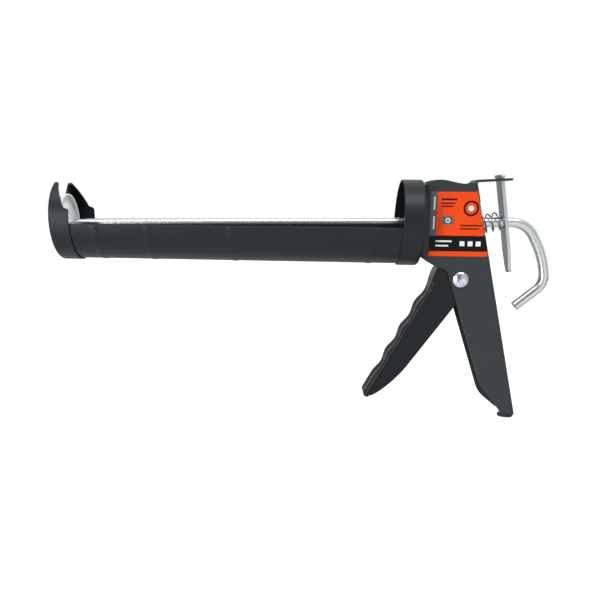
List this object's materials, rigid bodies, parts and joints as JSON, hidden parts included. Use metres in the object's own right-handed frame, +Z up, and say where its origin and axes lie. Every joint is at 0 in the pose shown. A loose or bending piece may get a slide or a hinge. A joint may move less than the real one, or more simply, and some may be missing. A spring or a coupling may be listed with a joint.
{
  "type": "caulking gun",
  "caption": "Half-barrel caulking gun: trough with end cap and collar, pressed steel handle, squeeze trigger, thumb release and a toothed push rod bent into a hook.",
  "frame": {"origin": "centre of the nozzle opening, on the outer face of the front cap", "axes": "+X along the barrel towards the rod's hook, +Y to the far side, +Z up"},
  "size_m": [0.3256, 0.054, 0.1596],
  "materials": {
    "powder_coat": "satin black powder coat",
    "zinc_plate": "bright zinc plate",
    "rivet": "polished plate",
    "spring_steel": "dark spring wire",
    "label": null
  },
  "bodies": {
    "frame": {"handle_frame": "powder_coat", "rear_collar": "powder_coat", "barrel_trough": "powder_coat", "front_cap": "powder_coat", "collar_rivets": "powder_coat", "pivot_rivet": "rivet", "rivet_washer": "zinc_plate", "label": "label", "spring_washer": "zinc_plate", "return_spring": "spring_steel", "release_spring": "spring_steel"},
    "trigger": {"trigger": "powder_coat"},
    "drive_plate": {"drive_plate": "zinc_plate", "drive_plate_backer": "zinc_plate"},
    "release_lever": {"release_lever": "zinc_plate"},
    "plunger": {"plunger_plate": "zinc_plate"},
    "rod": {"toothed_rod": "zinc_plate", "plunger_washer": "zinc_plate"}
  },
  "joints": [
    {"name": "rod_slide", "type": "slide", "parent": "frame", "child": "plunger", "axis": [0.9999, 0, 0.0141], "range_m": [0, 0.232]},
    {"name": "rod_turn", "type": "hinge", "parent": "plunger", "child": "rod", "pos_m": [0.2406, 0, 0.00033], "axis": [0.9999, 0, 0.0141], "range_deg": [0, 180]},
    {"name": "trigger_pivot", "type": "hinge", "parent": "frame", "child": "trigger", "pos_m": [0.2681, 0, -0.035], "axis": [0, -1, 0], "range_deg": [0, 25], "stiffness_Nm_per_rad": 0.5, "springref_deg": -11.46},
    {"name": "drive_plate_slide", "type": "slide", "parent": "frame", "child": "drive_plate", "axis": [-0.9999, 0, -0.0141], "range_m": [0, 0.01126], "deforming": ["return_spring"]},
    {"name": "release_lever_tilt", "type": "hinge", "parent": "frame", "child": "release_lever", "pos_m": [0.2883, 0, 0.02708], "axis": [0, 1, 0], "range_deg": [0, 8], "stiffness_Nm_per_rad": 0.3, "springref_deg": -8.59, "deforming": ["release_spring"]}
  ],
  "couplings": [
    {"joint": "drive_plate_slide", "follows": "trigger_pivot", "m_per_rad": 0.0258}
  ]
}
